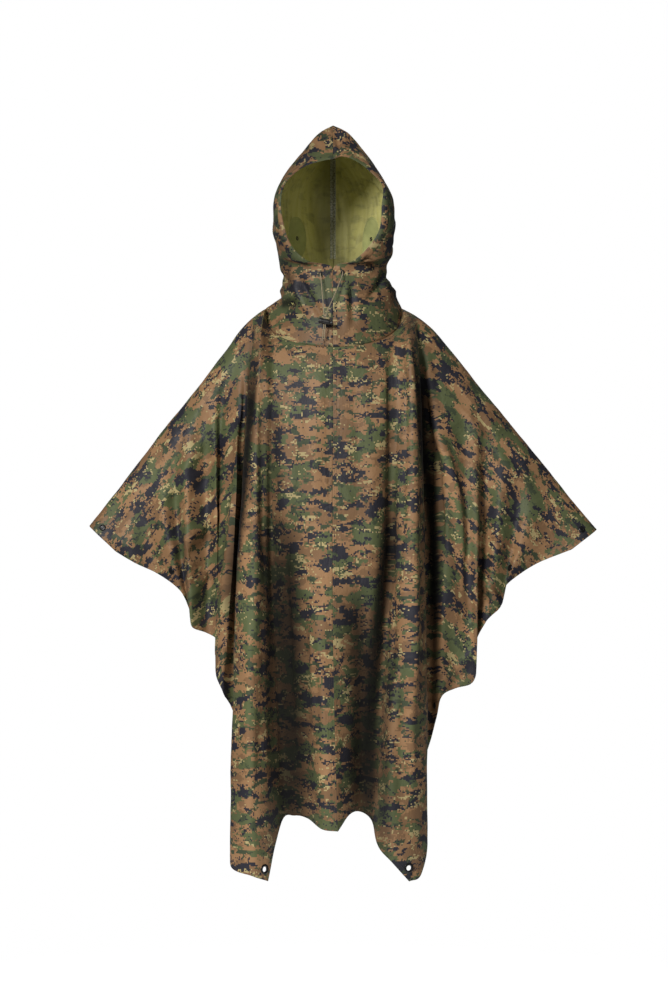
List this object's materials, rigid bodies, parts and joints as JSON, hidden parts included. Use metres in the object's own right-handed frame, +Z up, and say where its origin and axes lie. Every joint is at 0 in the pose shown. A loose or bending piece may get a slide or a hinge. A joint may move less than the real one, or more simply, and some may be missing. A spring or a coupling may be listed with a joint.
{
  "type": "rain poncho",
  "caption": "Hooded rain poncho, filled out as if worn and empty inside, with open sides, a drawcord and cord lock at the throat, and snaps and grommets at its edges.",
  "frame": {"origin": "between the shoulders, in the centre plane and level with the shoulder ridges' line, where a wearer holds the poncho up", "axes": "+Z up towards the hood's top, -Y to the front, where the face opening is, +X to the viewer's right"},
  "size_m": [1.0643, 0.3344, 1.558],
  "materials": {
    "body_cloth": "camouflage print, woven ripstop with a satin sheen",
    "hood_cloth": "camouflage print, woven ripstop with a satin sheen",
    "patch_cloth": "olive coated cloth",
    "seam_tape": "grey-green sealing tape",
    "snap_metal": "black, satin",
    "grommet_metal": "black, satin",
    "cord": "braided olive cord",
    "lock_plastic": "black moulded plastic"
  },
  "bodies": {
    "root": {"body_panel_left": "body_cloth", "body_panel_right": "body_cloth", "hood_left": "hood_cloth", "hood_right": "hood_cloth", "hood_patch_left": "patch_cloth", "hood_patch_right": "patch_cloth", "hood_seam_tape": "seam_tape", "cord_lock": "lock_plastic", "drawcord_left": "cord", "drawcord_right": "cord", "grommet_front_left": "grommet_metal", "snap_cap_front_left_1": "snap_metal", "snap_socket_front_left_1": "snap_metal", "snap_cap_front_left_2": "snap_metal", "snap_socket_front_left_2": "snap_metal", "snap_cap_front_left_3": "snap_metal", "snap_socket_front_left_3": "snap_metal", "grommet_front_right": "grommet_metal", "snap_cap_front_right_1": "snap_metal", "snap_socket_front_right_1": "snap_metal", "snap_cap_front_right_2": "snap_metal", "snap_socket_front_right_2": "snap_metal", "snap_cap_front_right_3": "snap_metal", "snap_socket_front_right_3": "snap_metal", "grommet_back_left": "grommet_metal", "snap_cap_back_left_1": "snap_metal", "snap_socket_back_left_1": "snap_metal", "snap_cap_back_left_2": "snap_metal", "snap_socket_back_left_2": "snap_metal", "snap_cap_back_left_3": "snap_metal", "snap_socket_back_left_3": "snap_metal", "grommet_back_right": "grommet_metal", "snap_cap_back_right_1": "snap_metal", "snap_socket_back_right_1": "snap_metal", "snap_cap_back_right_2": "snap_metal", "snap_socket_back_right_2": "snap_metal", "snap_cap_back_right_3": "snap_metal", "snap_socket_back_right_3": "snap_metal", "throat_eyelet_left": "grommet_metal", "throat_eyelet_right": "grommet_metal"}
  },
  "joints": []
}
